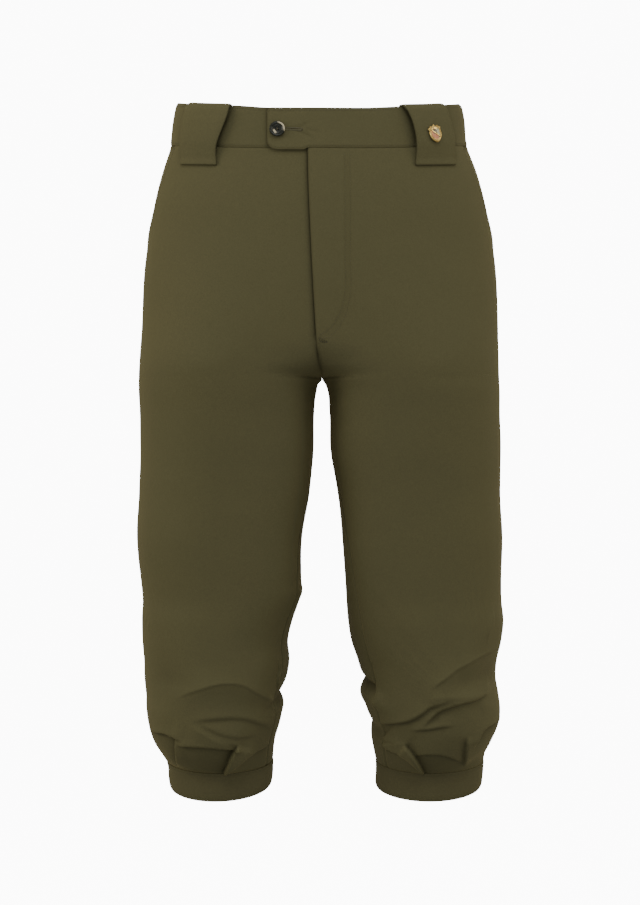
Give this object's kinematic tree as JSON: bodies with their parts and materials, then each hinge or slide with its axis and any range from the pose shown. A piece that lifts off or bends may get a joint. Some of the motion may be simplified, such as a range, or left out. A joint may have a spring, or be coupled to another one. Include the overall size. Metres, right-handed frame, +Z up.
{
  "type": "knee breeches (knickerbockers), filled out",
  "caption": "Knee breeches in olive cloth, filled out as if worn: fly front, buttoned waist tab, slanted side pockets, wide belt loops, legs pleated into banded knee cuffs.",
  "frame": {"origin": "centre of the waist, half way up the waistband, where the wearer holds the breeches up", "axes": "+Z up the body; -Y is the front, where the fly is; +X is the wearer's left"},
  "size_m": [0.4021, 0.277, 0.7698],
  "materials": {
    "front_right": "smooth woven cloth, faint sheen",
    "front_left": "smooth woven cloth, faint sheen",
    "back_right": "smooth woven cloth, faint sheen",
    "back_left": "smooth woven cloth, faint sheen",
    "waistband_right": "smooth woven cloth, faint sheen",
    "waistband_left": "smooth woven cloth, faint sheen",
    "pocket_side_right": "smooth woven cloth, faint sheen",
    "pocket_side_left": "smooth woven cloth, faint sheen",
    "cuff_right": "smooth woven cloth, faint sheen",
    "cuff_left": "smooth woven cloth, faint sheen",
    "belt_loop_front_right": "smooth woven cloth, faint sheen",
    "belt_loop_front_left": "smooth woven cloth, faint sheen",
    "belt_loop_back": "smooth woven cloth, faint sheen",
    "button_waist": "polished marbled horn",
    "badge_shield": "satin gilt with plain enamel"
  },
  "bodies": {
    "root": {"front_right": "front_right", "front_left": "front_left", "back_right": "back_right", "back_left": "back_left", "waistband_right": "waistband_right", "waistband_left": "waistband_left", "pocket_side_right": "pocket_side_right", "pocket_side_left": "pocket_side_left", "cuff_right": "cuff_right", "cuff_left": "cuff_left", "belt_loop_front_right": "belt_loop_front_right", "belt_loop_front_left": "belt_loop_front_left", "belt_loop_back": "belt_loop_back", "button_waist": "button_waist", "badge_shield": "badge_shield"}
  },
  "joints": []
}
